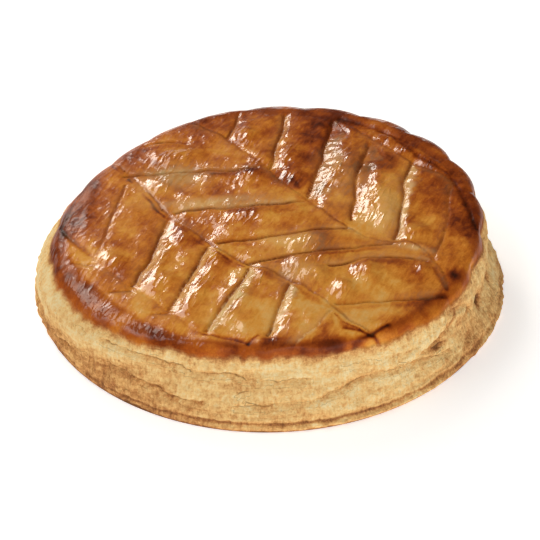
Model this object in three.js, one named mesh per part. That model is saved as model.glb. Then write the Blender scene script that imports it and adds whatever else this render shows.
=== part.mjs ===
// A baked galette des rois: two puff pastry sheets round an almond filling, whole and uncut.
// Millimetres, +Z up. The origin is the middle of the flat underside, and -Y is the front.
import * as THREE from "three";

// Overall form. Every radius and height below swings round these mean values.
const RIM_RADIUS = 109.3; // where the glazed top sheet ends
const RIM_HEIGHT = 39.0;
const FOOT_RADIUS = 119.4; // the bottom sheet, baked wider than the top one
const CREASE_RISE = 4.2; // pressed line round the lid, above the rim
const CROWN_RISE = 2.6; // middle of the lid, above the crease
const LIP_HEIGHT = 5.2; // edge of the bottom sheet, below its seam
const SEAM_DEPTH = 1.6;

// How far the real outline strays from a circle: [waves round the edge, size in mm, bearing of a crest].
const RIM_WAVES = [[1, 2.0, 41], [2, 4.1, 46], [3, 2.5, -38], [4, 1.3, 30], [5, 0.4, 22]];
const HEIGHT_WAVES = [[1, 1.2, 49], [2, 0.7, 60], [3, 0.85, 42]];
const FOOT_WAVES = [[1, 2.0, 79], [2, 1.2, 20], [3, 1.0, 29]];

// Border between crease and rim: [extra width in mm, bearing, spread in degrees] on top of its least width.
const BORDER_WIDTH = 4.8;
const BORDER_SWELLS = [[10.5, 62, 42], [5, 140, 28], [9.5, 215, 26], [4, 319, 12]];

// The knife-marked edge: upright notches cut all the way round before baking.
const NOTCHES = 22;
const NOTCH_BEARING = 14.6;
const NOTCH_DEPTH = 1.7;
const NOTCH_SHARPNESS = 2.2;

// Where the side bulges and where it is drawn in: [mm, bearing, spread in degrees].
const BELLY = [1.2, 195, 45];
const GAPE = [1.5, -8, 36];

// Ledges where the leaves of the side parted: mean height, swing, bearing of the highest point, depth.
const LEDGES = [
  { height: 26.5, swing: 2.5, bearing: 225, depth: 1.1 },
  { height: 15.5, swing: 3.5, bearing: 318, depth: 1.3 },
];
const LEDGE_HALF_HEIGHT = 2.2;

// Score marks. The dough puffs between them: steeply to the left of a mark, gently to its right.
const PUFF = 4.4;
const STEEP_REACH = 2.8;
const GENTLE_REACH = 5.6;
const PUFF_DATUM = 0.7; // share of the puff that lies below the smooth lid
const CREASE_DIP = 0.45; // share of the puff lost along the crease
const CREASE_REACH = 3.5;

// Four leaf veins run right across, between the back left and the front right.
const VEINS = [
  [[-105, -6], [-88, -28], [-68, -52], [-50, -71], [-34, -90], [-12, -101]],
  [[52, -95], [30, -71], [10, -52], [-11, -38], [-27, -23], [-48, 2], [-64, 29], [-79, 52]],
  [[-39, 94], [-19, 74], [0, 43], [12, 27], [33, 2], [46, -12], [58, -18], [74, -20], [83, -35], [87, -54]],
  [[38, 92], [50, 77], [66, 62], [94, 34]],
];
// Slashes between the veins, leaning one way in one band and the other way in the next.
const SLASHES = [
  [[-93, 36], [-99, 17], [-104, -5]],
  [[-74, 32], [-80, 3], [-86, -27]],
  [[-51, 1], [-58, -26], [-67, -52]],
  [[-31, -23], [-39, -48], [-48, -71]],
  [[-10, -42], [-20, -65], [-29, -90]],
  [[10, -55], [4, -74], [-1, -94]],
  [[30, -76], [22, -91], [13, -103]],
  [[-43, 72], [-55, 73], [-66, 70]],
  [[-7, 45], [-45, 45], [-75, 41]],
  [[19, 15], [-25, 11], [-47, 9]],
  [[39, -7], [20, -10], [0, -16], [-25, -20]],
  [[62, -20], [25, -28], [-10, -38]],
  [[78, -33], [56, -33], [29, -40]],
  [[85, -60], [57, -67], [32, -69]],
  [[-17, 101], [-19, 88], [-22, 79]],
  [[8, 99], [5, 71], [0, 45]],
  [[33, 91], [28, 57], [21, 18]],
  [[51, 66], [46, 40], [42, 1]],
  [[75, 53], [68, 19], [63, -15]],
  [[93, 32], [89, 0], [82, -32]],
  [[-96, -34], [-86, -34]],
  [[-78, -57], [-68, -56]],
  [[-56, -76], [-49, -75]],
];
const SCORE_STEPS = 10; // straight lengths that stand for one score mark

// Fineness of the surface.
const LID_RINGS = 28;
const WALL_STEPS = [0.5, 1, 1.5, 2, 2.5, 3, 3.5, 4, 4.5, 5, 5.4, 5.8, 6.2, 7, 8];
const AROUND = 6 * LID_RINGS;
const RING_SPACING = RIM_RADIUS / LID_RINGS;
const SNAP_SHARE = 0.45; // of a ring spacing: the reach within which a vertex moves onto a score mark

const radians = THREE.MathUtils.degToRad;

function waves(bearing, list) {
  return list.reduce((sum, [count, size, crest]) => sum + size * Math.cos(count * (bearing - radians(crest))), 0);
}

// A smooth hump of the given size, centred on one bearing.
function swell(bearing, [size, centre, spread]) {
  const away = THREE.MathUtils.euclideanModulo(THREE.MathUtils.radToDeg(bearing) - centre + 180, 360) - 180;
  return size * Math.exp(-((away / spread) ** 2));
}

// 1 at the bottom of a notch in the edge, 0 halfway between two.
function notch(bearing) {
  const turn = ((THREE.MathUtils.radToDeg(bearing) - NOTCH_BEARING) * NOTCHES) / 360;
  const phase = THREE.MathUtils.euclideanModulo(turn, 1);
  return (1 - 2 * Math.min(phase, 1 - phase)) ** NOTCH_SHARPNESS;
}

const rimRadius = (bearing) => RIM_RADIUS + waves(bearing, RIM_WAVES);
const rimHeight = (bearing) => RIM_HEIGHT + waves(bearing, HEIGHT_WAVES);
const border = (bearing) => BORDER_SWELLS.reduce((width, hump) => width + swell(bearing, hump), BORDER_WIDTH);
const creaseRadius = (bearing) => rimRadius(bearing) - border(bearing);

// Each score mark as a chain of points seen from above.
const scores = [...VEINS, ...SLASHES].map((points) => {
  const curve = new THREE.SplineCurve(points.map(([x, y]) => new THREE.Vector2(x, y)));
  return curve.getPoints(SCORE_STEPS);
});

// The point of one score mark that lies nearest, its distance, and the side: 1 steep, -1 gentle.
function nearestOn(score, place) {
  const best = { distance: Infinity, side: 0, point: new THREE.Vector2() };
  for (let i = 1; i < score.length; i += 1) {
    const along = score[i].clone().sub(score[i - 1]);
    const out = place.clone().sub(score[i - 1]);
    const share = THREE.MathUtils.clamp(out.dot(along) / along.lengthSq(), 0, 1);
    const point = score[i - 1].clone().addScaledVector(along, share);
    const distance = point.distanceTo(place);
    if (distance < best.distance) {
      const across = (along.x * out.y - along.y * out.x) / along.length();
      best.distance = distance;
      best.side = distance > 0 ? across / distance : 0;
      best.point = point;
    }
  }
  return best;
}

// Height of the puffed dough over the smooth lid: lowest along every score mark.
function puff(place) {
  const rise = scores.reduce((product, score) => {
    const { distance, side } = nearestOn(score, place);
    const reach = THREE.MathUtils.lerp(GENTLE_REACH, STEEP_REACH, (1 + side) / 2);
    return product * (1 - Math.exp(-distance / reach));
  }, 1);
  const toCrease = Math.abs(place.length() - creaseRadius(place.angle()));
  const dip = 1 - CREASE_DIP * Math.exp(-toCrease / CREASE_REACH);
  return PUFF * (rise * dip - PUFF_DATUM);
}

// The smooth lid inside the crease. `share` runs from 0 in the middle to 1 at the crease.
function lidHeight(bearing, share) {
  const swing = HEIGHT_WAVES.reduce(
    (sum, [count, size, crest]) => sum + size * share ** count * Math.cos(count * (bearing - radians(crest))),
    0,
  );
  return RIM_HEIGHT + CREASE_RISE + CROWN_RISE * (1 - share ** 2) + swing;
}

// Pulls a point of the lid onto a score mark that runs close by, so that the mark stays a clean line.
function snapped(place) {
  const closest = scores
    .map((score) => nearestOn(score, place))
    .reduce((a, b) => (b.distance < a.distance ? b : a));
  return closest.distance < SNAP_SHARE * RING_SPACING ? closest.point : place;
}

function lidPoint(bearing, share) {
  const radius = share * creaseRadius(bearing);
  const place = new THREE.Vector2(radius * Math.cos(bearing), radius * Math.sin(bearing));
  const settled = share < 1 ? snapped(place) : place;
  const settledBearing = settled.angle();
  const settledShare = settled.length() / creaseRadius(settledBearing);
  const height = lidHeight(settledBearing, settledShare) + puff(settled);
  return new THREE.Vector3(settled.x, settled.y, height);
}

// The section of border and side at one bearing, from the crease down to the underside.
function section(bearing) {
  const rim = rimRadius(bearing);
  const top = rimHeight(bearing);
  const width = border(bearing);
  const foot = FOOT_RADIUS + waves(bearing, FOOT_WAVES);
  const belly = swell(bearing, BELLY);
  const gape = swell(bearing, GAPE);
  const cut = NOTCH_DEPTH * notch(bearing);
  const stations = [
    [rim - width, top + CREASE_RISE],
    [rim - 0.45 * width, top + 0.67 * CREASE_RISE],
    [rim - 0.4 * cut, top - 0.6],
    [rim + 1.6 + 4.4 * belly + 0.6 * gape - cut, top * 0.76],
    [0.45 * rim + 0.55 * foot + 3.2 * belly - 2 * gape - 0.8 * cut, top * 0.47],
    [foot - 1.4 + 2.2 * belly - 0.8 * gape - 0.5 * cut, top * 0.2 + 0.5],
    [foot - SEAM_DEPTH + 0.6 * belly, LIP_HEIGHT],
    [foot, 0.5 * LIP_HEIGHT],
    [foot - SEAM_DEPTH, 0],
  ];
  return new THREE.SplineCurve(stations.map(([radius, height]) => new THREE.Vector2(radius, height)));
}

// How far the side steps in along its ledges.
function ledge(bearing, height) {
  return LEDGES.reduce((sum, { height: mean, swing, bearing: crest, depth }) => {
    const line = mean + swing * Math.cos(bearing - radians(crest));
    return sum + depth * Math.exp(-(((height - line) / LEDGE_HALF_HEIGHT) ** 2));
  }, 0);
}

function wallPoint(bearing, step) {
  const curve = section(bearing);
  const { x: radius, y: height } = curve.getPoint(step / (curve.points.length - 1));
  const place = new THREE.Vector2(radius * Math.cos(bearing), radius * Math.sin(bearing));
  const onBorder = Math.max(0, 1 - step / 2);
  const drawnIn = 1 - (ledge(bearing, height) * (1 - onBorder)) / radius;
  return new THREE.Vector3(place.x * drawnIn, place.y * drawnIn, height + onBorder * puff(place));
}

// The lid is a disc of rings, ring k with 6k points, so that its triangles are all much the same size.
function addLid(points, faces) {
  points.push(lidPoint(0, 0));
  for (let ring = 1; ring <= LID_RINGS; ring += 1) {
    for (let i = 0; i < 6 * ring; i += 1) {
      points.push(lidPoint((Math.PI * i) / (3 * ring), ring / LID_RINGS));
    }
  }
  const at = (ring, i) => (ring === 0 ? 0 : 1 + 3 * ring * (ring - 1) + (i % (6 * ring)));
  for (let ring = 1; ring <= LID_RINGS; ring += 1) {
    for (let sixth = 0; sixth < 6; sixth += 1) {
      for (let i = 0; i < ring; i += 1) {
        const outer = at(ring, sixth * ring + i);
        const outerNext = at(ring, sixth * ring + i + 1);
        const inner = at(ring - 1, sixth * (ring - 1) + i);
        faces.push([inner, outer, outerNext]);
        if (i < ring - 1) {
          faces.push([inner, outerNext, at(ring - 1, sixth * (ring - 1) + i + 1)]);
        }
      }
    }
  }
}

// Rings from the crease over the rim to the underside, each as finely divided as the lid's last one.
function addWall(points, faces) {
  WALL_STEPS.forEach((step) => {
    const upper = points.length - AROUND;
    const lower = points.length;
    for (let i = 0; i < AROUND; i += 1) {
      points.push(wallPoint((2 * Math.PI * i) / AROUND, step));
      const next = (i + 1) % AROUND;
      faces.push([upper + i, lower + i, lower + next]);
      faces.push([upper + i, lower + next, upper + next]);
    }
  });
}

function addUnderside(points, faces) {
  const ring = points.length - AROUND;
  const middle = points.length;
  points.push(new THREE.Vector3(0, 0, 0));
  for (let i = 0; i < AROUND; i += 1) {
    faces.push([middle, ring + ((i + 1) % AROUND), ring + i]);
  }
}

function makeGalette() {
  const points = [];
  const faces = [];
  addLid(points, faces);
  addWall(points, faces);
  addUnderside(points, faces);
  const geometry = new THREE.BufferGeometry().setFromPoints(points);
  geometry.setIndex(faces.flat());
  geometry.computeVertexNormals();
  const crust = new THREE.MeshStandardMaterial({ color: 0xb8742c, roughness: 0.4, metalness: 0 });
  const mesh = new THREE.Mesh(geometry, crust);
  mesh.name = "galette";
  return mesh;
}

const part = new THREE.Group();
part.add(makeGalette());

export default part;
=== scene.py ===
"""A baked galette des rois on a pale table: crust mesh, egg-wash glaze, dry flaky side, light and camera."""

import itertools
import math

import bpy
import numpy as np
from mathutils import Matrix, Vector


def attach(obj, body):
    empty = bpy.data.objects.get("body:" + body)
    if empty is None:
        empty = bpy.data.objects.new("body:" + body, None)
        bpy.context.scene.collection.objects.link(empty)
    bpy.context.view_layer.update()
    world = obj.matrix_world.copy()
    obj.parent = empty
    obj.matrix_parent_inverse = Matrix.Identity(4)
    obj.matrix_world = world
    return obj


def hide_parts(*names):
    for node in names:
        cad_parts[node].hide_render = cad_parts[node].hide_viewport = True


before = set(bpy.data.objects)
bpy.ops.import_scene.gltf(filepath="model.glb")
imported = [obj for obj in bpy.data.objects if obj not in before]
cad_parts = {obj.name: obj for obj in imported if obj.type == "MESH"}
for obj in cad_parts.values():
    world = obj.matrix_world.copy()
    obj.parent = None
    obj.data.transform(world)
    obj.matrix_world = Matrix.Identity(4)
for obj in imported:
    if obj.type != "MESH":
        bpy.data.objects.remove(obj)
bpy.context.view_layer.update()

MM = 0.001

# ---------------------------------------------------------------- the galette's form, in millimetres

# Mean sizes, as in the solid that this crust covers.
RIM_RADIUS = 109.3
RIM_HEIGHT = 39.0
FOOT_RADIUS = 119.4
CREASE_RISE = 4.2
CROWN_RISE = 2.6
LIP_HEIGHT = 5.2
SEAM_DEPTH = 1.6

# Waves round the edge: (how many, size in mm, bearing of a crest in degrees).
RIM_WAVES = ((1, 2.0, 41), (2, 4.1, 46), (3, 2.5, -38), (4, 1.3, 30), (5, 0.4, 22))
HEIGHT_WAVES = ((1, 1.2, 49), (2, 0.7, 60), (3, 0.85, 42))
FOOT_WAVES = ((1, 2.0, 79), (2, 1.2, 20), (3, 1.0, 29))

# Swells: (size in mm, bearing, spread in degrees).
BORDER_WIDTH = 4.8
BORDER_SWELLS = ((10.5, 62, 42), (5, 140, 28), (9.5, 215, 26), (4, 319, 12))
BELLY = (1.2, 195, 45)
GAPE = (1.5, -8, 36)

NOTCHES = 22
NOTCH_BEARING = 14.6
NOTCH_DEPTH = 1.7
NOTCH_SHARPNESS = 2.2

# Puffed dough between the score marks.
PUFF = 2.4  # how far the tallest pillow stands over a cut
PUFF_DATUM = 0.87  # the share of that rise which lies at the smooth form
LEAST_DIP = 0.12  # share of the puff that is missing at the crease
CREASE_DIP = (0.45, 40, 60)
CREASE_REACH = 3.5  # how far the dip runs in over the lid
CREASE_OUT = 9.0  # and out over the border
LEFT_SAG = 0.85  # how much of the crown is missing on the left

# The leaf pattern seen from above: four veins, then the slashes of each band between them.
VEINS = (
    ((-105, -6), (-88, -28), (-68, -52), (-50, -71), (-34, -90), (-12, -101)),
    ((52, -95), (30, -71), (10, -52), (-11, -38), (-27, -23), (-48, 2), (-64, 29), (-79, 52)),
    ((-39, 94), (-19, 74), (0, 43), (12, 27), (33, 2), (46, -12), (58, -18), (74, -20), (83, -35), (87, -54)),
    ((38, 92), (50, 77), (66, 62), (94, 34)),
)
SLASHES = (
    ((-93, 36), (-99, 17), (-104, -5)),
    ((-74, 32), (-80, 3), (-86, -27)),
    ((-51, 1), (-58, -26), (-67, -52)),
    ((-31, -23), (-39, -48), (-48, -71)),
    ((-10, -42), (-20, -65), (-29, -90)),
    ((10, -55), (4, -74), (-1, -94)),
    ((30, -76), (22, -91), (13, -103)),
    ((-43, 72), (-55, 73), (-66, 70)),
    ((-7, 45), (-45, 45), (-75, 41)),
    ((19, 15), (-25, 11), (-47, 9)),
    ((39, -7), (20, -10), (0, -16), (-25, -20)),
    ((62, -20), (25, -28), (-10, -38)),
    ((78, -33), (56, -33), (29, -40)),
    ((85, -60), (57, -67), (32, -69)),
    ((-17, 101), (-19, 88), (-22, 79)),
    ((8, 99), (5, 71), (0, 45)),
    ((33, 91), (28, 57), (21, 18)),
    ((51, 66), (46, 40), (42, 1)),
    ((75, 53), (68, 19), (63, -15)),
    ((93, 32), (89, 0), (82, -32)),
    ((-96, -34), (-86, -34)),
    ((-78, -57), (-68, -56)),
    ((-56, -76), (-49, -75)),
)
SCORE_STEPS = 12
# How each slash stands: its depth as a share of the deepest, the width of its riser in mm, the riser's share
# of the rise, how far the slope above it reaches, how pale the riser is, and the dough on its other side.
RISERS = (
    (0.25, 0.6, 0.3, 9, 0.0, 0.0),
    (0.15, 0.6, 0.3, 9, 0.0, 0.1),
    (1.0, 4.0, 0.45, 9, 0.45, 0.12),
    (1.0, 4.0, 0.45, 9, 0.5, 0.1),
    (1.0, 5.5, 0.5, 9, 1.0, 0.1),
    (1.0, 4.5, 0.45, 9, 0.8, 0.1),
    (0.06, 1.0, 0.4, 8, 0.6, 0.4),
    (0.5, 1.0, 0.4, 7, 0.1, 0.1),
    (0.8, 1.0, 0.5, 6, 0.1, 0.25),
    (0.8, 1.0, 0.6, 5, 0.1, 0.5),
    (0.8, 1.0, 0.55, 6, 0.1, 0.25),
    (0.8, 1.2, 0.55, 6, 0.2, 0.1),
    (0.6, 0.8, 0.4, 6, 0.1, 0.3),
    (0.7, 0.9, 0.4, 6, 0.1, 0.2),
    (0.8, 1.4, 0.4, 8, 0.3, 0.1),
    (1.0, 2.4, 0.4, 8, 0.35, 0.15),
    (1.4, 12.0, 0.55, 15, 0.35, 0.1),
    (1.3, 10.0, 0.5, 13, 0.15, 0.1),
    (1.1, 4.0, 0.5, 9, 0.65, 0.1),
    (0.3, 0.7, 0.3, 7, 0.1, 0.1),
    (0.4, 0.8, 0.3, 5, 0.0, 0.2),
    (0.4, 0.8, 0.3, 5, 0.0, 0.2),
    (0.4, 0.8, 0.3, 5, 0.0, 0.2),
)
VEIN_RISER = (0.22, 4.5, 0.4, 8, 0.0, 0.1)

LID_RINGS = 132
LID_AROUND = 6 * LID_RINGS
BORDER_END = 2.7  # the step at which the finely divided border gives way to the side
BORDER_RINGS = 20
SIDE_AROUND = 528
SIDE_RINGS = 56
LAST_STEP = 8  # the underside
RIM_STEP = 2
RING_SPACING = RIM_RADIUS / LID_RINGS
SNAP_SHARE = 0.45  # of the spacing: points nearer to a mark than this are moved onto it
MARK_SOFTNESS = 0.5  # rounds the bottom of a score mark
LEE_LIP = (0.55, 0.9)  # share of the rise that stands right at the mark on its other side, and its reach
LEE_REACH = 12.0
# Noises: how much, over what length in mm, and the seed.
MARK_WAVER = ((1.5, 17.0, 41), (0.6, 6.0, 43))
RISER_WAVER = ((0.45, 13, 45), (0.3, 5, 46))


def waves(bearing, items):
    """Sum of cosine waves round the edge, one value for each bearing."""
    return sum(size * np.cos(count * (bearing - math.radians(crest))) for count, size, crest in items)


def swell(bearing, size, centre, spread):
    """A smooth hump of the given size round one bearing."""
    away = (np.degrees(bearing) - centre + 180) % 360 - 180
    return size * np.exp(-((away / spread) ** 2))


def swells(bearing, items):
    return sum(swell(bearing, *item) for item in items)


def notch(bearing):
    """1 at the bottom of a knife notch in the edge, 0 halfway between two."""
    phase = ((np.degrees(bearing) - NOTCH_BEARING) * NOTCHES / 360) % 1
    return (1 - 2 * np.minimum(phase, 1 - phase)) ** NOTCH_SHARPNESS * (0.4 + swell(bearing, 0.6, 45, 50))


def rim_radius(bearing):
    return RIM_RADIUS + waves(bearing, RIM_WAVES)


def rim_height(bearing):
    return RIM_HEIGHT + waves(bearing, HEIGHT_WAVES)


def crease_radius(bearing):
    return rim_radius(bearing) - BORDER_WIDTH - swells(bearing, BORDER_SWELLS)


def bearing_of(place):
    return np.arctan2(place[:, 1], place[:, 0])


def smooth(value, low, high):
    """0 at low, 1 at high, eased between; low may also be the greater of the two."""
    part = np.clip((value - low) / (high - low), 0, 1)
    return part * part * (3 - 2 * part)


def hump(value, middle, width):
    return np.exp(-(((value - middle) / width) ** 2))


def noise(place, size, seed):
    """Smooth random hills from -1 to 1, about `size` millimetres apart (one size, or one for each axis)."""
    table = np.random.default_rng(seed).uniform(-1, 1, 8192)
    grid = place / np.array(size, float)
    cell = np.floor(grid).astype(np.int64)
    part = grid - cell
    part = part * part * (3 - 2 * part)
    primes = np.array((73856093, 19349663, 83492791))[: place.shape[1]]
    total = np.zeros(len(place))
    for corner in itertools.product((0, 1), repeat=place.shape[1]):
        weight = np.prod(np.where(corner, part, 1 - part), axis=1)
        total += weight * table[((cell + corner) @ primes) % len(table)]
    return total


def noises(place, items):
    """Sum of noises, each given by how much, its spacing and its seed."""
    return sum(size * noise(place, spacing, seed) for size, spacing, seed in items)


def patchy(place, spacing, seed, low, high):
    """0 and 1 in patches, so that what it multiplies comes and goes."""
    return smooth(noise(place, spacing, seed), low, high)


def ridges(place, size, seed):
    """Sharp-crested folds from -1 to 1, made from the same hills."""
    return 1 - 3.2 * np.abs(noise(place, size, seed))


def ellipse(place, x, y, half_length, half_width, turn):
    """1 at the middle of a soft-edged oval, 0 well outside it."""
    c, s = math.cos(math.radians(turn)), math.sin(math.radians(turn))
    out = place - np.array((x, y))
    along, across = out @ np.array((c, s)) / half_length, out @ np.array((-s, c)) / half_width
    return np.exp(-(along**2) - across**2)


def spline(points, place):
    """Catmull-Rom curve through points (..., count, 2), read at place, counted in points."""
    last = points.shape[-2] - 1
    start = np.clip(np.floor(place).astype(int), 0, last - 1)
    part = (place - start)[..., None]

    def pick(shift):
        index = np.clip(start + shift, 0, last)[..., None, None]
        return np.take_along_axis(points, index, axis=-2)[..., 0, :]

    before, here, after, beyond = pick(-1), pick(0), pick(1), pick(2)
    leave = (after - before) / 2
    arrive = (beyond - here) / 2
    cubic = (2 * here - 2 * after + leave + arrive) * part**3
    square = (3 * after - 3 * here - 2 * leave - arrive) * part**2
    return cubic + square + leave * part + here


def chain(points):
    """A curved line as a chain of short straight lengths."""
    ends = np.array(points, float)
    place = np.linspace(0, len(ends) - 1, SCORE_STEPS + 1)
    return spline(np.broadcast_to(ends, (len(place), *ends.shape)), place)


def nearest_on(line, place):
    """For each place: distance to a line, nearest point, side (1 left of its run, -1 right), way along it."""
    distance = np.full(len(place), np.inf)
    point = np.zeros_like(place)
    side = np.zeros(len(place))
    along = np.zeros(len(place))
    run = 0.0
    for start, end in zip(line[:-1], line[1:]):
        step = end - start
        length = np.hypot(*step)
        out = place - start
        share = np.clip(out @ step / length**2, 0, 1)
        here = start + share[:, None] * step
        gap = np.hypot(*(place - here).T)
        across = (step[0] * out[:, 1] - step[1] * out[:, 0]) / length
        closer = gap < distance
        distance = np.where(closer, gap, distance)
        side = np.where(closer, across / np.maximum(gap, 1e-6), side)
        along = np.where(closer, run + share * length, along)
        point = np.where(closer[:, None], here, point)
        run += length
    return distance, point, side, along


SCORES = [chain(points) for points in (*VEINS, *SLASHES)]


def hand_cut(place):
    """The same places moved a little, so that what is measured from them wavers as a hand-held blade does."""
    items = [[(size, spacing, seed + axis) for size, spacing, seed in MARK_WAVER] for axis in (0, 1)]
    return place + np.column_stack([noises(place, item) for item in items])


def score_map(true_place):
    """The rise of the dough between the marks, and what the nearest mark is and how it lies."""
    place = hand_cut(true_place)
    found = [nearest_on(score, place) for score in SCORES]
    distance, side, along = (np.stack([item[i] for item in found]) for i in (0, 2, 3))
    steep = (1 + side) / 2
    risers = np.array([VEIN_RISER] * len(VEINS) + list(RISERS))
    softened = np.hypot(distance, MARK_SOFTNESS) - MARK_SOFTNESS
    depth, width, share, reach = risers.T[:4, :, None]
    width = width * (1 + noises(place, RISER_WAVER))
    lip = 1 - np.exp(-softened / LEE_LIP[1])
    lee = 1 - np.exp(-softened / LEE_REACH)
    lee += LEE_LIP[0] * (lip - lee)
    riser = share * np.clip(softened / width, 0, 1) + (1 - share) * np.tanh(softened / reach)
    climb = lee + (riser - lee) * steep
    mark = np.argmin(distance, axis=0)
    index = np.arange(len(place))
    nearest, second = np.partition(distance, 1, axis=0)[:2]
    return {
        "rise": np.prod(1 - depth * (1 - climb), axis=0),
        "mark": mark,
        "riser": risers[mark],
        "distance": nearest,
        "clear": smooth(second - nearest, 0.5, 3.5),  # 0 where another mark is as near
        "side": side[mark, index],
        "along": along[mark, index],
        "point": true_place - place + np.stack([item[1] for item in found])[mark, index],
    }


def lid_height(bearing, share):
    """Height of the smooth lid, share of the way from its middle to the crease."""
    swing = waves(bearing, [(count, size * share**count, crest) for count, size, crest in HEIGHT_WAVES])
    crown = CROWN_RISE * (1 - share**2) * (1 - LEFT_SAG * smooth(-share * np.cos(bearing), -0.2, 0.6))
    return RIM_HEIGHT + CREASE_RISE + crown + swing


def section(bearing):
    """Radius and height of the border and side at each bearing, from the crease to the underside."""
    rim, top = rim_radius(bearing), rim_height(bearing)
    width = rim - crease_radius(bearing)
    foot = FOOT_RADIUS + waves(bearing, FOOT_WAVES)
    belly, gape = swell(bearing, *BELLY), swell(bearing, *GAPE)
    cut = NOTCH_DEPTH * notch(bearing)
    level = np.ones_like(bearing)
    radii = (
        rim - width,
        rim - 0.45 * width,
        rim - 1.8 * cut,
        rim + 1.6 + 4.4 * belly + 0.6 * gape - 1.2 * cut,
        0.45 * rim + 0.55 * foot + 3.2 * belly - 2 * gape - 0.8 * cut,
        foot - 1.4 + 2.2 * belly - 0.8 * gape - 0.5 * cut,
        foot - SEAM_DEPTH * (1 - swell(bearing, 0.7, 212, 35)) + 0.6 * belly,
        foot,
        foot - SEAM_DEPTH,
    )
    heights = (
        top + CREASE_RISE,
        top + 0.67 * CREASE_RISE,
        top - 0.6,
        top * 0.76,
        top * 0.47,
        top * 0.2 + 0.5,
        LIP_HEIGHT * level,
        0.5 * LIP_HEIGHT * level,
        0 * level,
    )
    return np.stack((np.stack(radii, -1), np.stack(heights, -1)), -1)


# ---------------------------------------------------------------- the lid's relief, browning, painted sheen and painted shade

PILLOW_LUMP = (0.6, 10.0, 13)  # swellings on a pillow: height, spacing and seed
PIMPLE = (0.18, 4.0, 14)
LEFT_CALM = 0.6  # how much of both is missing on the left
CRINKLE = 0.5  # folds of the glazed skin
CRINKLE_SIZE = (3.4, 9.0)  # across the folds, and along them
CRINKLE_BEARING = 66  # the way the folds run, in degrees
CRINKLE_BEND = 1.5
LEAST_CRINKLED = 0.07
PLEAT = 0.35  # the same folds across the border
LEAST_PLEATED = 0.12
PLEATED = (0.22, 205, 38)
BORDER_LUMP = (0.34, 5.5, 16)
HATCH = 0.22  # ribs of torn skin across a riser
HATCH_SPACING = 2.8
HATCH_STRETCH = 0.3
SWELLING = 0.26  # height of a crinkled swelling for each mm of its half width
# Where the skin is crinkled, on the near left slope of a swelling: x, y, half length, half width, turn, then
# the share of the full height of the swelling, and of the folds.
CRINKLED = (
    (35, 43, 21, 11, 76, 0.9, 0.9),
    (55, 20, 21, 9, 82, 0.8, 0.75),
    (57, 0, 10, 6, 90, 1, 0.6),
    (69, 10, 16, 4, 84, 0.8, 0.7),
    (71, -12, 6, 5, 0, 1.3, 0.8),
    (12, -43, 5, 9, 0, 1.6, 0.8),
    (21, -50, 6, 7, 0, 1.5, 0.9),
    (72, -23, 8, 3, -12, 1.5, 0.4),
    (75, -42, 3, 5, 0, 1.5, 0.6),
    (55, -90, 4, 3, 0, 1.3, 0.6),
    (-54, 34, 9, 6, 40, 1.2, 0.9),
    (-52, 56, 10, 6, 10, 1.2, 0.9),
    (-33, 38, 6, 4, 0, 0.6, 0.5),
    (-11, 38, 7, 7, 0, 1.3, 0.8),
    (-11, 2, 9, 5, 0, 1.1, 0.7),
    (-43, 6, 3, 3, 0, 0.6, 0.5),
    (19, -21, 10, 6, 0, 1.5, 0.8),
    (24, -35, 11, 5, 15, 1.5, 0.9),
    (46, -46, 6, 9, 0, 1.5, 0.7),
    (35, -60, 4.5, 8, 0, 1.6, 0.7),
    (-93, 4, 2.5, 12, 0, 0.2, 0.2),
    (-80, -35, 6, 6, 0, 0.8, 0.7),
    (-55, -34, 4, 16, -15, 0.6, 0.7),
    (-45, -14, 4, 7, 0, 0.7, 0.8),
    (-54, -52, 7, 6, 0, 0.6, 0.7),
    (-28, -32, 5, 8, 0, 0.8, 0.8),
    (-34, -56, 5, 14, -18, 0.8, 0.8),
    (-16, -64, 6, 17, -18, 1.2, 0.9),
    (-5, -50, 7, 6, 0, 1.2, 0.8),
    (8, -64, 5, 11, -10, 1, 0.8),
    (-14, 77, 5, 7, 0, 1, 0.8),
    (-4, 52, 7, 5, -40, 1, 0.8),
    (9, 58, 5, 13, 0, 1, 0.8),
    (11, 38, 6, 6, 0, 1, 0.8),
    (61, 72, 6, 4, -30, 0.5, 0.9),
    (71, 62, 6, 4, -45, 0.5, 0.9),
    (83, 50, 7, 3, -50, 0.6, 0.9),
)
CUT_DEPTH = 0.4
CUT_HALF_WIDTH = 0.8
VEIN_CUT = 0.28  # how deep a vein is cut, as a share of that
NOTCH_RELIEF = 2.0  # depth of the edge's knife notches where they run up over the border
NOTCH_RUN = 9.0
ERASED = (24, 34)  # the first vein fades out between these lengths of its run

# Burnt creases: half width, darkness, depth, then points along the line.
BURNS = (
    (1.5, 0.15, 0.6, ((38, 95), (61, 80), (77, 58), (94, 39), (103, 3), (105, -5))),
    (1.3, 0.18, 0.5, ((-106, -2), (-100, -14), (-90, -27))),
    (2.4, 0.0, 0.15, ((-97, -40), (-83, -56), (-70, -73), (-56, -82), (-39, -90), (-31, -93))),
    (1.0, 0.3, 0.3, ((-31, -93), (-20, -96), (-15, -98), (-10, -101))),
    (0.9, 0.3, 0.2, ((-10, -101), (-8, -98), (-5, -95))),
    (1.4, 0.42, 0.4, ((37, -90), (43, -91), (49, -93), (53, -95))),
    (1.4, 0.42, 0.4, ((41, -98), (47, -94), (57, -87))),
    (1.2, 0.2, 0.4, ((82, -40), (85, -48), (87, -55))),
    (1.6, 0.16, 0.4, ((68, -66), (79, -63), (87, -60))),
)
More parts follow.
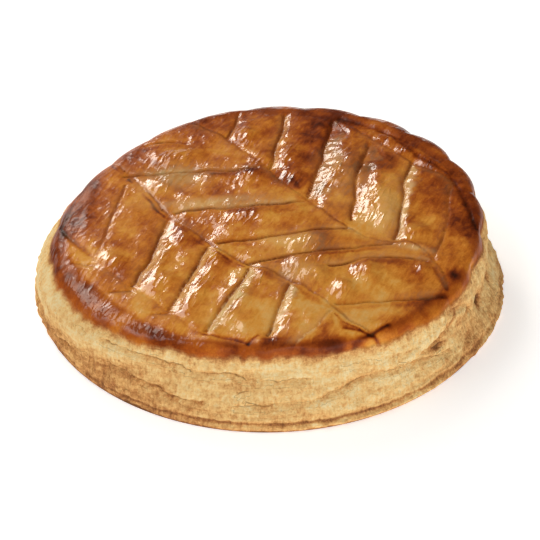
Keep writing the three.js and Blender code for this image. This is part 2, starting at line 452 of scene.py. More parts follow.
# Patches that baked darker or lighter: x, y, half length, half width, turn in degrees, darkness.
PATCHES = (
    (3, -99, 7, 2.6, 0, 0.3),
    (30, -100, 7, 4.2, -4, 0.27),
    (17, -98, 12, 4, 0, 0.12),
    (-20, -97, 14, 4, 5, 0.13),
    (-50, -92, 14, 5, -25, 0.12),
    (52, 80, 20, 10, -30, -0.1),
    (82, 22, 24, 10, 85, 0.12),
    (76, -46, 17, 8, 0, 0.18),
    (-44, -30, 10, 16, 0, 0.08),
    (-30, -6, 12, 9, 0, 0.1),
    (2, 32, 12, 6, 0, 0.12),
    (46, -90, 10, 5, 20, -0.2),
    (79, -63, 8, 3.2, 30, 0.14),
    (92, -44, 4.4, 3.8, 0, 0.18),
    (-93, -40, 6, 9, 35, 0.08),
    (-60, -88, 12, 5, -20, 0.15),
    (20, 72, 20, 7, 85, 0.16),
    (62, 52, 11, 7, 90, 0.13),
    (91, 34, 22, 5, -62, 0.09),
    (102, 0, 30, 9, 90, 0.28),
    (95, -38, 14, 6, 70, 0.12),
    (78, -68, 18, 6, 45, 0.15),
    (60, -86, 14, 5, 30, 0.15),
    (7, 35, 14, 5, -25, 0.22),
    (-15, 41, 14, 4, 8, 0.12),
    (-60, 62, 9, 7, 0, 0.08),
    (-43, -18, 8, 5, -35, 0.18),
    (-23, -42, 8, 4, -60, 0.12),
    (-36, -12, 12, 4, -52, 0.07),
    (-96, 0, 22, 8, 85, 0.10),
    (20, -50, 34, 22, 0, -0.01),
    (58, 0, 20, 16, 0, -0.1),
    (-20, -36, 26, 12, -30, 0.03),
    (38, -20, 14, 3, 8, 0.12),
    (-92, 12, 20, 8, 80, 0.15),
    (-95, 40, 16, 6, 60, 0.13),
    (-58, -18, 8, 5, 80, 0.1),
    (70, -4, 10, 6, 80, 0.04),
    (-18, 80, 34, 14, 0, 0.10),
    (55, -50, 28, 11, 5, -0.12),
    (50, -78, 20, 6, 20, -0.15),
    (0, -86, 22, 5, 0, -0.03),
    (-70, 16, 9, 20, 0, -0.06),
    (-76, -50, 9, 9, 0, -0.05),
    (14, 10, 16, 8, 0, -0.05),
    (12, -20, 14, 8, 0, -0.08),
    (50, -98, 11, 6, 25, -0.36),
    (46, -66, 14, 10, 0, -0.12),
)
# How brown the lid is, from 0, pale gold, to 1, burnt.
BAKED = 0.50
BAKED_UNEVENLY = ((0.12, 24, 33), (0.13, 9, 34), (0.04, 4, 40))
BACK_BAKED = 0.0011  # more for each millimetre towards the back
BORDER_BAKED = 0.08
BORDER_BAKED_SWELLS = ((0.26, 268, 36), (0.19, 190, 20), (-0.04, -25, 20))
RIM_BAKED = (0.05, 210, 45)
CREASE_BAKED = (0.5, 35, 50)
# Browned bands beside a mark: how much, how far from the mark in mm, and the half width.
CREST = (0.16, 4.5, 2.2)  # on the puffed side
RIDGE = (0.32, 2.8, 0.8)  # the same, at the ridged marks alone
RIDGED = (1,)
EDGE = (0.16, 2.6)  # on the other side, from the mark out
# Where egg wash is missing.
DRY_SPOT = (35, 88, 10, 10, 0)  # x, y, half length, half width, turn
DRY_BACK_LEFT = (1, 166, 32)
BORDER_DRY = 0.3  # share that is missing on the border
BORDER_DRY_SWELLS = ((-0.3, 222, 36), (0.5, 165, 36), (0.7, 284, 34))
# Pale cream patches: x, y, half length, half width, turn, share of cream. Most are thinly brushed wash; the
# ones marked below are painted sheen and painted highlights.
PALE_PATCHES = (
    (-30, 17, 26, 3.4, 5, 0.6),
    (33, 84, 9, 9, 0, -0.5),
    # painted highlight: a bright cream streak below the end of the third vein
    (72, -24, 9, 2.2, -14, 0.6),
    (-14, -66, 5, 16, -18, 0.15),
    (-66, 30, 4, 18, 30, 0.12),
    (-48, 40, 14, 10, 0, 0.65),
    # painted sheen: broad pale veils over the two glossy pillows at the right of the lid
    (37, 30, 24, 9, 78, 0.2),
    (60, 4, 26, 7, 84, 0.38),
    # painted highlights: brighter patches on the pillows right of the front middle
    (13, -46, 10, 8, 0, 0.4),
    (15, -20, 14, 8, 0, 0.35),
    (52, -76, 18, 6, 20, 0.06),
)


def lid_measures(place):
    """What the relief and the looks of the lid are worked out from, as arrays by name."""
    at = score_map(place)
    bearing = bearing_of(place)
    radius = np.hypot(*place.T)
    past_crease = radius - crease_radius(bearing)
    on_border = smooth(past_crease, -1, 3)
    crinkled = np.max([folds * ellipse(place, *oval) for *oval, _, folds in CRINKLED], axis=0)
    crinkled = LEAST_CRINKLED + (1 - LEAST_CRINKLED) * crinkled
    along = at["along"] + 90.0 * at["mark"]
    hatch = noise(np.column_stack((along, HATCH_STRETCH * at["distance"])), HATCH_SPACING, 42)
    uneven = 1 + 0.5 * hatch + noises(place, RISER_WAVER)
    across = at["distance"] / (at["riser"][:, 1] * uneven)
    return at | {
        "bearing": bearing,
        "radius": radius,
        "past_crease": past_crease,
        "on_border": on_border,
        "crinkled": crinkled * (0.5 + 0.5 * smooth(at["rise"], 0.2, 0.6)) * (1 - on_border),
        "pleated": on_border * (LEAST_PLEATED + swell(bearing, *PLEATED)),
        "hatch": hatch,
        "on_riser": (1 - smooth(across, 0.5, 1.3)) * smooth(at["side"], 0.1, 0.8),
        "kept": np.where(at["mark"] == 0, 1 - smooth(at["along"], *ERASED), 1),
        "is_vein": at["mark"] < len(VEINS),
        "off_burns": [nearest_on(chain(points), place)[0] for *_, points in BURNS],
    }


def lid_relief(place, at):
    """Pillows, folds, cuts and burnt creases, in mm over the smooth form."""
    past_crease, on_border = at["past_crease"], at["on_border"]
    depth, width, _, _, riser_pale, _ = at["riser"].T
    fading = np.exp(-np.maximum(-past_crease / CREASE_REACH, past_crease / CREASE_OUT))
    dip = (LEAST_DIP + swell(at["bearing"], *CREASE_DIP)) * fading
    relief = PUFF * (at["rise"] * (1 - dip) - PUFF_DATUM)
    lively = 1 - LEFT_CALM * smooth(-place[:, 0], 30, 75)
    relief += (noises(place, [PILLOW_LUMP]) * smooth(at["rise"], 0.1, 0.7) + noises(place, [PIMPLE])) * lively
    for x, y, half_length, half_width, turn, swelling, _ in CRINKLED:
        small = min(half_length, half_width)
        height = SWELLING * swelling * small
        relief += height * ellipse(place, x + small / 2, y + small / 2, half_length, half_width, turn)

    turn = math.radians(CRINKLE_BEARING)
    folds = place @ np.array(((math.sin(turn), math.cos(turn)), (-math.cos(turn), math.sin(turn))))
    folds += CRINKLE_BEND * noise(place, 8, 15)[:, None]
    relief += (CRINKLE * at["crinkled"] + PLEAT * at["pleated"]) / 2 * ridges(folds, CRINKLE_SIZE, 12)
    relief += noises(place, [BORDER_LUMP]) * on_border
    cut = CUT_DEPTH * at["kept"] * np.where(at["is_vein"], VEIN_CUT, np.minimum(depth * 1.2, 1))
    relief -= cut * hump(at["distance"], 0, CUT_HALF_WIDTH) * (1 - on_border)
    rim = rim_radius(at["bearing"])
    relief -= NOTCH_RELIEF * notch(at["bearing"]) ** 2 * smooth(at["radius"], rim - NOTCH_RUN, rim - 1)
    for (half_width, _, crease, _), off in zip(BURNS, at["off_burns"]):
        relief -= crease * hump(off, 0, half_width)
    ribs = at["on_riser"] * (0.4 + riser_pale) * hump(at["distance"], 0.7 * width, 0.6 * width)
    return relief + HATCH * at["hatch"] * ribs


def lid_browning(place, at):
    """How brown the glaze is at each place."""
    bearing, distance, on_border = at["bearing"], at["distance"], at["on_border"]
    puffed, other = smooth(at["side"], 0, 0.8), smooth(-at["side"], 0, 0.6)
    browned = BAKED + noises(place, BAKED_UNEVENLY) + BACK_BAKED * place[:, 1]
    browned += CREST[0] * hump(distance, *CREST[1:]) * puffed * at["clear"] * patchy(place, 15, 35, -0.2, 0.7)
    edge = np.exp(-distance / EDGE[1]) * other * patchy(place, 12, 47, -0.7, 0.5)
    browned += EDGE[0] * edge * (1 - at["riser"][:, 5])
    ridge = hump(distance, *RIDGE[1:]) * puffed * np.isin(at["mark"], RIDGED)
    browned += RIDGE[0] * ridge * patchy(place, 10, 36, -0.6, 0.4)
    browned += on_border * (BORDER_BAKED + swells(bearing, BORDER_BAKED_SWELLS))
    browned += swell(bearing, *RIM_BAKED) * smooth(at["past_crease"], 1, 7)
    browned += 0.12 * hump(at["past_crease"], 0, 2.5) * (0.3 + swell(bearing, *CREASE_BAKED))
    ragged = 1 + 0.5 * noise(place, 3.5, 37)
    for (half_width, darkness, _, _), off in zip(BURNS, at["off_burns"]):
        browned += darkness * hump(off, 0, half_width * ragged)
    for *oval, darkness in PATCHES:
        browned += darkness * ellipse(place, *oval)
    return browned


def pale_dough_and_painted_sheen(place, at):
    """Share of pale cream: dough that shows on torn risers, beside marks and where the wash is thin, and
    painted sheen and highlights on a few pillows.
    """
    beside = hump(at["distance"], 1.2, 3.0) * smooth(-at["side"], 0.1, 0.8) * patchy(place, 18, 38, -0.9, 0.3)
    riser_pale, beside_pale = at["riser"].T[4:]
    pale = (riser_pale * at["on_riser"] + beside_pale * beside) * (1 - at["on_border"])
    for *oval, share in PALE_PATCHES:
        pale += share * ellipse(place, *oval)
    return np.clip(pale, 0, 1)


def painted_score_shade(place, at):
    """Share of painted shade along the marks, drawn in browned dough's colours as the shadow of the narrow
    cut.
    """
    strength = np.where(at["is_vein"], 0.75, 0.9) * at["kept"] * np.minimum(at["riser"][:, 0] / 0.15, 1)
    thin = hump(at["distance"] * np.sign(at["side"]), -0.3, 0.75)
    return strength * thin * (0.35 + 0.65 * patchy(place, 16, 39, -0.5, 0.2)) * (1 - at["on_border"])


def egg_wash(place, at):
    """How much glossy wash lies on the dough: little in cuts and on torn risers, none in burnt creases."""
    bearing, on_border = at["bearing"], at["on_border"]
    matt = np.max([hump(off, 0, burn[0] + 2.5) for burn, off in zip(BURNS, at["off_burns"])], axis=0)
    wash = 1 - 0.8 * hump(at["distance"], 0, 1.3) * (1 - on_border)
    wash *= 1 - swell(bearing, *DRY_BACK_LEFT) * smooth(at["past_crease"], -18, -6)
    wash *= 1 - 0.9 * ellipse(place, *DRY_SPOT)
    wash *= 1 - on_border * (BORDER_DRY + swells(bearing, BORDER_DRY_SWELLS))
    return wash * (1 - 0.95 * matt) * (1 - 0.55 * at["on_riser"] * at["riser"][:, 4])


def lid_surface(place):
    """Relief in mm over the smooth form, and the looks of the glaze, for places on the lid and border."""
    at = lid_measures(place)
    looks = {
        "browned": lid_browning(place, at),
        "pale": pale_dough_and_painted_sheen(place, at),
        "score_line": painted_score_shade(place, at),
        "streaked": 1 - 0.55 * at["on_border"],
        "crinkled": at["crinkled"] + at["pleated"],
        "hatched": 0.3 * at["on_riser"] * (0.3 + at["riser"][:, 4]) * (1 - at["on_border"]),
        "wash": egg_wash(place, at),
    }
    return lid_relief(place, at), looks


# ---------------------------------------------------------------- the side's relief, toasting and painted shade

LEAF = 0.88  # relief of the pastry leaves down the side
LEAF_SIZE = (30.0, 30.0, 2.2)
LEAF_WANDER = (2.4, 24.0)
STRING = 0.7  # upright strings of dough between the leaves
STRING_SIZE = (2.4, 2.4, 7.0)
LUMP = 0.8
LUMP_SIZE = (13.0, 13.0, 7.0)
CRUMB = (0.5, (3.0, 3.0, 1.9), 26)
TEETH = (0.9, 222, 15)  # torn dough low on the front left: depth, bearing, spread
CRACK_WANDER = ((0.7, 5, 25), (0.3, 1.8, 28))

# Where leaves parted: depth, half width, then (bearing in degrees, height in mm) along the crack.
CRACKS = (
    (1.5, 0.9, ((226, 31), (243, 29.5), (249, 28), (253, 26.5), (258, 28), (265, 25), (280, 25))),
    (1.6, 1.0, ((228, 19), (235, 18), (243, 14.5), (247, 12.5), (254, 14))),
    (1.2, 1.2, ((262, 13), (278, 14.5), (284, 16), (291, 20), (298, 22), (306, 19.5), (313, 17), (322, 14))),
    (2.4, 0.8, ((313, 20.5), (317, 21.5), (320, 23))),
    (1.7, 1.8, ((308, 18), (316, 22), (324, 26))),
    (1.5, 1.5, ((326, 31), (333, 27), (336, 20))),
    (1.5, 1.3, ((96, 23), (120, 26), (150, 24), (178, 27), (200, 24))),
    (1.3, 1.4, ((100, 14), (130, 12), (165, 15), (196, 12), (214, 14))),
    (1.4, 1.4, ((376, 22), (398, 25), (420, 22), (440, 24))),
)
# Open holes and hollows in the side: bearing, height, half length, half width, turn, depth, and how much
# painted shade darkens the hollow.
HOLES = (
    (342.3, 18, 3.8, 2.2, 28, 1.8, 0.95),
    (354, 17, 5.5, 3.0, 40, 1.6, 0.45),
    (318.4, 19.2, 5.5, 1.0, 6, 2.0, 0.85),
    (326.6, 27, 7, 1.1, 37, 0.8, 0.42),
    (334, 22, 8, 2.0, 30, 1.4, 0.1),
    (330, 10, 10, 2.0, 24, 1.2, 0.12),
    (309, 26, 8, 1.1, 18, 0.8, 0.2),
    (305, 27.5, 1.0, 0.7, 0, 1.4, 0.3),
    (246, 12, 0.9, 0.7, 0, 1.3, 0.3),
    (231, 24, 1.0, 0.8, 0, 1.2, 0.3),
    (150, 18, 2.0, 1.2, 0, 2.0, 0.3),
    (30, 20, 2.4, 1.4, 0, 2.2, 0.3),
)
# Hairline cracks where thin leaves of dough parted, drawn only as lines of painted shade: how many, length in
# mm, and the steepest they climb.
HAIRLINES = (34, (3, 9), 0.2)
CRACK_REACH = 2.5  # mm from a crack at which its measure stops
SIDE_RADIUS = 114.0  # turns bearings into millimetres along the side
STRIP_START = 90  # the bearing at which the side is unrolled, at the back
# How toasted the side is: how much, then bearing and spread, or spacing and seed.
TOASTED = 0.30
TOASTED_UNEVENLY = (0.10, (24, 24, 10), 27)
TOASTED_SWELLS = ((0.12, 80, 60), (0.08, -15, 32))
# The same with the heights in mm at which it starts, and is full.
TOASTED_BANDS = ((0.37, 229, 36, 37, 10), (-0.19, 194, 22, 16, 26), (0.14, -25, 28, 18, 6))
PALE_BELLY = (0.07, 278, 40)
TOASTED_LIP = (0.34, 285, 42)
GLAZE_EDGE = 1.6  # how far below the rim the glaze ends
GLAZE_EDGE_SWELL = (1.0, 262, 30)
GLAZE_EDGE_WANDER = ((0.95, (3, 3, 40), 31), (0.8, (12, 12, 40), 32))


def strip_place(degrees, height):
    return np.stack((np.radians(degrees) * SIDE_RADIUS, height), -1)


def hairlines():
    """Short fine cracks scattered over the side, as chains on the unrolled side."""
    count, (shortest, longest), steepest = HAIRLINES
    random = np.random.default_rng(51)
    start = strip_place(random.uniform(STRIP_START, STRIP_START + 355, count), random.uniform(7, 35, count))
    length = random.uniform(shortest, longest, count)
    climb = random.uniform(-steepest, steepest, (2, count))
    middle = start + np.column_stack((length / 2, climb[0] * length))
    end = middle + np.column_stack((length / 2, climb[1] * length))
    return list(np.stack((start, middle, end), axis=1))


def side_measures(bearing, height):
    """Where the side's places lie, in space and on the unrolled side, and the noises that its looks share."""
    place = np.column_stack((SIDE_RADIUS * np.cos(bearing), SIDE_RADIUS * np.sin(bearing), height))
    flat = strip_place((np.degrees(bearing) - STRIP_START) % 360 + STRIP_START, height)
    wander = LEAF_WANDER[0] * noise(place, LEAF_WANDER[1], 21)
    return {
        "place": place,
        "ragged": flat + np.column_stack((0 * height, noises(place, CRACK_WANDER))),
        "leaf": np.abs(noise(place + np.outer(wander, (0, 0, 1)), LEAF_SIZE, 22)),
        "lump": noise(place, LUMP_SIZE, 24),
    }


def nearest_crack(at, courses):
    """Signed distance to the nearest crack, which stays shut in patches."""
    crack = np.full(len(at["place"]), CRACK_REACH)
    for course in courses:
        distance, _, side, _ = nearest_on(course, at["ragged"])
        crack = np.where(distance < np.abs(crack), np.copysign(distance, side), crack)
    return crack + np.copysign(1.6 * patchy(at["place"], (7, 7, 7), 29, -0.25, 0.25), crack)


def side_surface(bearing, height):
    """How far the side steps in, in mm, how toasted it is, with painted shade added in its holes and crack
    gaps, and how far off the nearest crack lies.
    """
    at = side_measures(bearing, height)
    teeth = swell(bearing, *TEETH) * smooth(height, 5, 8) * smooth(height, 22, 16)
    inward = LEAF * at["leaf"] + LUMP * at["lump"] + noises(at["place"], [CRUMB])
    inward += (STRING + teeth) * noise(at["place"], STRING_SIZE, 23)
    toast = TOASTED + 0.10 * at["lump"] + 0.16 * at["leaf"] + noises(at["place"], [TOASTED_UNEVENLY])
    toast += swells(bearing, TOASTED_SWELLS)
    for *item, none_at, full_at in TOASTED_BANDS:
        toast += swell(bearing, *item) * smooth(height, none_at, full_at)
    toast -= swell(bearing, *PALE_BELLY) * hump(height, 18, 8)
    toast += 0.35 * smooth(height, 1.8, 0.3) + 0.08 * smooth(height, 6, 2)
    toast += (0.1 + swell(bearing, *TOASTED_LIP)) * hump(height, LIP_HEIGHT - 0.3, 0.8)

    courses = [chain(strip_place(*np.array(course, float).T)) for *_, course in CRACKS]
    torn = np.zeros(len(bearing))
    for (depth, half_width, _), course in zip(CRACKS, courses):
        distance, _, side, _ = nearest_on(course, at["ragged"])
        gap = hump(distance, 0, half_width)
        inward += depth * (gap + 0.5 * np.exp(-distance / 4.0) * (side < 0))
        torn = np.maximum(torn, gap)
    # painted shade: the open gap of each crack is darkened
    toast += 0.16 * torn
    # painted shade: each hole is darkened by its last column
    for degrees, level, *oval, depth, darkness in HOLES:
        hole = ellipse(at["ragged"], math.radians(degrees) * SIDE_RADIUS, level, *oval)
        inward += depth * hole
        toast += darkness * hole
    return inward, toast, nearest_crack(at, courses + hairlines())


# ---------------------------------------------------------------- the crust's mesh


def ring_of(count):
    return 2 * np.pi * np.arange(count) / count


def lid_points():
    """The middle, then rings of 6, 12, 18 ... points; a point close to a score mark is moved onto it."""
    counts = 6 * np.arange(1, LID_RINGS + 1)
    bearing = np.concatenate((np.zeros(1), *(ring_of(count) for count in counts)))
    share = np.concatenate((np.zeros(1), np.repeat(np.arange(1, LID_RINGS + 1) / LID_RINGS, counts)))
    place = (share * crease_radius(bearing))[:, None] * np.column_stack((np.cos(bearing), np.sin(bearing)))
    marks = score_map(place)
    snapped = (marks["distance"] < SNAP_SHARE * RING_SPACING) & (share < 1)
    place = np.where(snapped[:, None], marks["point"], place)
    bearing = bearing_of(place)
    relief, looks = lid_surface(place)
    share = np.hypot(*place.T) / crease_radius(bearing)
    plain = np.ones(len(place))
    looks |= {"glaze": plain, "crack": CRACK_REACH * plain, "toast": 0 * plain}
    return np.column_stack((place, lid_height(bearing, share) + relief)), looks


def wall_points(steps, around):
    """Rings of border or side points at the given steps of the section."""
    bearing = np.tile(ring_of(around), len(steps))
    step = np.repeat(steps, around)
    radius, height = spline(section(bearing), step).T
    place = radius[:, None] * np.column_stack((np.cos(bearing), np.sin(bearing)))
    relief, looks = lid_surface(place)
    inward, toast, crack = side_surface(bearing, height)
    rim_place = spline(section(bearing), np.full(len(step), RIM_STEP))
    from_rim = np.hypot(radius - rim_place[:, 0], height - rim_place[:, 1]) * np.sign(step - RIM_STEP)
    below_rim = rim_height(bearing) - height
    on_side = smooth(below_rim, 0.5, 4.5) * (1 - smooth(step, 7, LAST_STEP))
    inward = np.maximum(inward, -0.6) * on_side
    place = place * (1 - inward / radius)[:, None]
    on_border = np.clip(1 - step / 2, 0, 1)
    points = np.column_stack((place, height + on_border * relief))

    past = from_rim - GLAZE_EDGE - noises(points, GLAZE_EDGE_WANDER) - swell(bearing, *GLAZE_EDGE_SWELL)
    looks["glaze"] = 1 - smooth(past, -1.8, 1.1)
    looks["wash"] *= 1 - smooth(past, -6.5, -3.0)
    looks["browned"] -= 0.03 * smooth(past, -3.5, 0.6)
    looks["toast"] = toast + 0.38 * np.exp(-np.maximum(past, 0) / 1.9)
    looks["crack"] = crack
    return points, looks


def bridge(upper, upper_count, lower, lower_count):
    """Triangles between one ring of points and the next; a ring is given by its first point and its count."""
    if upper_count > lower_count:
        return bridge(lower, lower_count, upper, upper_count)[:, ::-1]
    i = np.arange(lower_count)
    above = np.floor((i + 0.5) * upper_count / lower_count + 0.5).astype(int)
    before = np.roll(above, 1)
    before[0] -= upper_count
    on_lower = np.column_stack((upper + above % upper_count, lower + i, lower + (i + 1) % lower_count))
    on_upper = np.column_stack((upper + before % upper_count, lower + i, upper + above % upper_count))
    return np.vstack((on_lower, on_upper[(above > before) & (upper_count > 1)]))


def make_crust():
    """The whole crust as one closed mesh, with its looks as point attributes."""
    border_steps = np.linspace(0, BORDER_END, BORDER_RINGS + 1)[1:]
    side_steps = np.linspace(BORDER_END, LAST_STEP, SIDE_RINGS + 1)[1:]
    parts = (lid_points(), wall_points(border_steps, LID_AROUND), wall_points(side_steps, SIDE_AROUND))
    counts = [1, *(6 * ring for ring in range(1, LID_RINGS + 1))]
    counts += [LID_AROUND] * BORDER_RINGS + [SIDE_AROUND] * SIDE_RINGS + [1]
    points = np.vstack((*(part[0] for part in parts), (0, 0, 0)))
    starts = np.cumsum((0, *counts[:-1]))
    rings = list(zip(starts, counts))
    faces = [bridge(*upper, *lower) for upper, lower in zip(rings[:-1], rings[1:])]
    underside = len(faces[-1])
    faces = np.vstack(faces)

    mesh = bpy.data.meshes.new("crust")
    mesh.from_pydata((points * MM).tolist(), [], faces.tolist())
    mesh.polygons.foreach_set("use_smooth", np.arange(len(faces)) < len(faces) - underside)
    mesh.update()
    for name in parts[0][1]:
        values = np.concatenate((*(part[1][name] for part in parts), np.zeros(1)))
        attribute = mesh.attributes.new(name, "FLOAT", "POINT")
        attribute.data.foreach_set("value", values.astype(np.float32))
    crust = bpy.data.objects.new("crust", mesh)
    bpy.context.scene.collection.objects.link(crust)
    return crust


# ---------------------------------------------------------------- materials


def srgb(code):
    """A colour written as RRGGBB, turned linear."""
    parts = [int(code[i : i + 2], 16) / 255 for i in (0, 2, 4)]
    return (*(c / 12.92 if c <= 0.04045 else ((c + 0.055) / 1.055) ** 2.4 for c in parts), 1.0)


def add(material, kind, links=None, sockets=None, **settings):
    """Adds one node: links feed its sockets, sockets are their plain values, settings are its properties."""
    node = material.node_tree.nodes.new(kind)
    for name, value in settings.items():
        setattr(node, name, value)
    for name, value in (sockets or {}).items():
        node.inputs[name].default_value = value
    for name, source in (links or {}).items():
        material.node_tree.links.new(source, node.inputs[name])
    return node


def new_material(name):
    material = bpy.data.materials.new(name)
    material.use_nodes = True
    material.node_tree.nodes.clear()
    return material


def ramp(material, value, stops):
    """The colour at value on a run of (place, colour) stops."""
    node = add(material, "ShaderNodeValToRGB", {"Fac": value})
    elements = node.color_ramp.elements
    while len(elements) < len(stops):
        elements.new(0.5)
    for element, (place, colour) in zip(elements, stops):
        element.position = place
        element.color = srgb(colour)
    return node.outputs["Color"]


GLAZE_STOPS = (
    (0.15, "f0bd6c"),
    (0.34, "eca240"),
    (0.50, "d67e28"),
    (0.66, "ae5417"),
    (0.82, "78300d"),
    (1.00, "3a1506"),
)
DOUGH_STOPS = (
    (0.15, "f7dda5"),
    (0.38, "f4c984"),
    (0.55, "e3ac6a"),
    (0.72, "c68a50"),
    (0.88, "a66c40"),
    (1.00, "805430"),
)
SKIN_RELIEF = 0.8  # height in mm of the finest folds, flakes and strings
DOUGH_ROUGHNESS = 0.85
GLAZE_ROUGHNESS = 0.36  # of the browned dough under the wash
WASH_COAT = 0.9  # how much clear coat the fullest wash leaves


def crust_material():
    """Puff pastry baked under egg wash. The wash dries to an amber coat, clear and glossy like varnish, brown
    where it lay thick and nearly black in burnt creases. Where none was brushed, on torn risers and down the
    side, the dough is matt cream, toasted tan where it stands out. The same cream is also laid on a few
    pillows as painted sheen and highlights, and dark browns are drawn as painted shade in the score cuts and
    in the side's cracks and holes. Specks and fibres are drawn about 1 to 2 mm wide, coarser than real ones,
    so that they show."""
    m = new_material("egg_washed_puff_pastry")
    where = add(m, "ShaderNodeTexCoord").outputs["Object"]

    def read(name):
        return add(m, "ShaderNodeAttribute", attribute_name=name).outputs["Fac"]

    def grain(size_mm, detail=2.0, vector=where, stretch=(1, 1, 1)):
        """Noise whose features are about size_mm wide."""
        spread = add(m, "ShaderNodeMapping", {"Vector": vector}, {"Scale": stretch}).outputs["Vector"]
        sockets = {"Scale": 1 / (size_mm * MM), "Detail": detail, "Roughness": 0.55, "Distortion": 0.4}
        return add(m, "ShaderNodeTexNoise", {"Vector": spread}, sockets).outputs["Fac"]

    def plus(value, extra, share):
        """value + share * (extra - 0.5)"""
        node = add(m, "ShaderNodeMath", {0: extra}, {1: share, 2: -share / 2}, operation="MULTIPLY_ADD")
        return add(m, "ShaderNodeMath", {0: node.outputs[0], 1: value}, operation="ADD").outputs[0]

    def times(a, b):
        return add(m, "ShaderNodeMath", {0: a, 1: b}, operation="MULTIPLY").outputs[0]

    def blend(factor, a, b):
        return add(m, "ShaderNodeMix", {0: factor, 6: a, 7: b}, data_type="RGBA").outputs[2]

    glaze = read("glaze")
    turned = {"Rotation": (0, 0, math.radians(90 - CRINKLE_BEARING))}
    folds = add(m, "ShaderNodeMapping", {"Vector": where}, turned).outputs["Vector"]
    crinkle = grain(3.2, 0, folds, (1, 0.3, 1))
    crinkle = add(m, "ShaderNodeMath", {0: crinkle}, {1: 0.5}, operation="PINGPONG").outputs[0]
    crinkle = add(m, "ShaderNodeMath", {0: crinkle}, {1: 2.8}, operation="MULTIPLY").outputs[0]
    mottle = grain(4.5, 3)
    speck = grain(1.0, 2)
    fibre = grain(1.9, 2, folds, (1, 0.3, 1))
    strings = grain(1.6, 3, stretch=(1, 1, 0.3))
    leaves = grain(1.5, 4, stretch=(0.3, 0.3, 1))

    streaks = plus(fibre, mottle, 0.8)
    streaks = add(m, "ShaderNodeMix", {0: read("streaked"), 3: streaks}, {2: 0.5}).outputs[0]
    baked = plus(plus(read("browned"), streaks, 0.36), speck, 0.14)
    amber = ramp(m, baked, GLAZE_STOPS)
    # cream for bare dough, also used for the painted sheen and highlights
    cream = ramp(m, fibre, ((0.35, "e0a65c"), (0.65, "f7d290")))
    # painted shade of the narrow score cuts, in dark browns
    cut = ramp(m, mottle, ((0.3, "75340f"), (0.7, "a65a22")))
    glazed = blend(read("score_line"), blend(read("pale"), amber, cream), cut)
    blotch = grain(6.0, 3, stretch=(0.6, 0.6, 1))
    # the toast value also carries painted shade in the side's holes and cracks
    toasted = plus(plus(plus(read("toast"), speck, 0.50), strings, 0.66), leaves, 0.44)
    dough = ramp(m, plus(toasted, blotch, 0.60), DOUGH_STOPS)
    # painted shade: a dark brown line along every crack and hairline of the side
    gap = add(m, "ShaderNodeMath", {0: read("crack")}, operation="ABSOLUTE").outputs[0]
    thin = {"From Min": 0.1, "From Max": 0.5, "To Min": 0.65, "To Max": 0}
    hairline = add(m, "ShaderNodeMapRange", {"Value": gap}, thin)
    painted_crack_shade = ramp(m, strings, ((0.3, "7a4f26"), (0.7, "a3743d")))
    colour = blend(glaze, blend(hairline.outputs[0], dough, painted_crack_shade), glazed)

    hatch = grain(2.6, 0, stretch=(0.25, 1, 1))
    skin = plus(times(crinkle, read("crinkled")), times(hatch, read("hatched")), 1.0)
    skin = plus(plus(skin, grain(3.6, 0.5), 0.28), fibre, 0.20)
    flaky = plus(plus(grain(1.1, 3), strings, 0.7), leaves, 0.5)
    relief = add(m, "ShaderNodeMix", {0: glaze, 2: flaky, 3: skin}).outputs[0]
    stand = {"Strength": 1.0, "Distance": SKIN_RELIEF * MM}
    bump = add(m, "ShaderNodeBump", {"Height": relief}, stand).outputs["Normal"]
    finish = {"To Min": DOUGH_ROUGHNESS, "To Max": GLAZE_ROUGHNESS}
    rough = add(m, "ShaderNodeMapRange", {"Value": glaze}, finish).outputs[0]
    coat = add(m, "ShaderNodeMath", {0: read("wash")}, {1: WASH_COAT}, operation="MULTIPLY").outputs[0]
    drawn = {"Base Color": colour, "Roughness": rough, "Normal": bump}
    drawn |= {"Coat Weight": coat, "Coat Normal": bump}
    plain = {"Coat Roughness": 0.09, "Coat IOR": 1.5, "IOR": 1.4, "Specular IOR Level": 0.14}
    shader = add(m, "ShaderNodeBsdfPrincipled", drawn, plain)
    add(m, "ShaderNodeOutputMaterial", {"Surface": shader.outputs["BSDF"]})
    return m


def table_material():
    """White acrylic lit from below, as a light table is, so that it stays plain white."""
    m = new_material("lit_white_acrylic")
    glow = {"Emission Color": (1, 1, 1, 1), "Emission Strength": 0.55}
    shader = add(m, "ShaderNodeBsdfPrincipled", None, {"Base Color": srgb("f2f1ef"), "Roughness": 0.9} | glow)
    add(m, "ShaderNodeOutputMaterial", {"Surface": shader.outputs["BSDF"]})
    return m


# ---------------------------------------------------------------- table, light and camera

TABLE_SIZE = 8.0
CAMERA_ELEVATION = math.radians(36)
CAMERA_DISTANCE = 1.4
CAMERA_LENS = 182.6
CAMERA_TARGET = Vector((0, 0, 0.020))
FRAME_MOVE = (0.0005, -0.0061)  # right and up, to place the galette in the frame
# Each light: azimuth, elevation, distance, width and height, power, colour.
SOFTBOXES = {
    "window": (202, 26, 1.6, (0.42, 0.5), 7, "fffaf0"),
    "window_curtain": (218, 46, 1.7, (0.9, 0.7), 8.5, "fff6ea"),
    "left_softbox": (-80, 50, 2.0, (1.2, 0.9), 12, "ffffff"),
    "low_front_card": (27, 16, 2.4, (2.6, 1.0), 31, "ffffff"),
}
STUDIO_GREYS = ((0.0, 0.09), (0.7, 0.04))  # how bright the room is, from the front to the back


def make_table():
    bpy.ops.mesh.primitive_plane_add(size=TABLE_SIZE)
    table = bpy.context.object
    table.name = "table"
    table.data.materials.append(table_material())


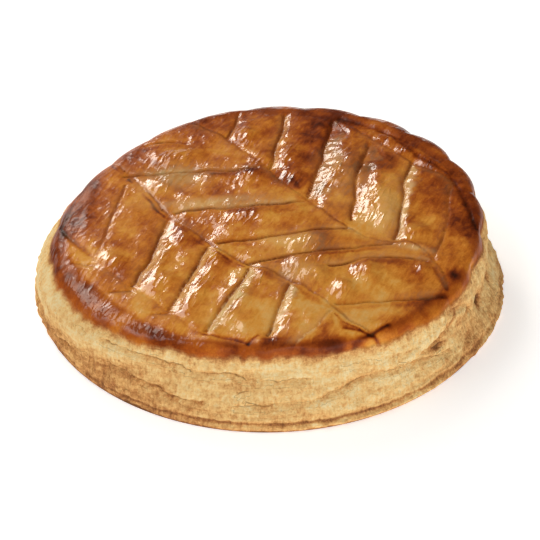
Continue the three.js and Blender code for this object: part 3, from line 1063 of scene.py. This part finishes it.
def softbox(name, azimuth, elevation, distance, size, power, colour):
    """A rectangular light that looks at the galette. Azimuth counts from the front round by the right."""
    data = bpy.data.lights.new(name, "AREA")
    data.shape = "RECTANGLE"
    data.size, data.size_y = size
    data.energy = power
    data.color = srgb(colour)[:3]
    light = bpy.data.objects.new(name, data)
    a, e = math.radians(azimuth), math.radians(elevation)
    offset = Vector((math.sin(a) * math.cos(e), -math.cos(a) * math.cos(e), math.sin(e)))
    light.location = offset * distance
    light.rotation_euler = offset.to_track_quat("Z", "Y").to_euler()
    bpy.context.scene.collection.objects.link(light)


def make_light():
    for name, values in SOFTBOXES.items():
        softbox(name, *values)
    world = bpy.data.worlds.new("studio")
    world.use_nodes = True
    way = add(world, "ShaderNodeTexCoord").outputs["Generated"]
    split = add(world, "ShaderNodeSeparateXYZ", {0: way})
    shade = add(world, "ShaderNodeValToRGB", {"Fac": split.outputs["Y"]})
    for element, (place, grey) in zip(shade.color_ramp.elements, STUDIO_GREYS):
        element.position = place
        element.color = (grey, grey, grey, 1)
    background = world.node_tree.nodes["Background"]
    world.node_tree.links.new(shade.outputs["Color"], background.inputs["Color"])
    bpy.context.scene.world = world


def make_camera():
    data = bpy.data.cameras.new("camera")
    data.lens = CAMERA_LENS
    data.sensor_width = 36
    data.sensor_fit = "HORIZONTAL"
    camera = bpy.data.objects.new("camera", data)
    away = Vector((0, -math.cos(CAMERA_ELEVATION), math.sin(CAMERA_ELEVATION)))
    right, up = Vector((1, 0, 0)), Vector((0, math.sin(CAMERA_ELEVATION), math.cos(CAMERA_ELEVATION)))
    camera.location = CAMERA_TARGET + away * CAMERA_DISTANCE + right * FRAME_MOVE[0] + up * FRAME_MOVE[1]
    camera.rotation_euler = away.to_track_quat("Z", "Y").to_euler()
    bpy.context.scene.collection.objects.link(camera)
    bpy.context.scene.camera = camera


bpy.context.scene.view_settings.view_transform = "Standard"
make_camera()
make_light()
make_table()
crust = make_crust()
crust.data.materials.append(crust_material())
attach(crust, "root")
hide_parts("galette")
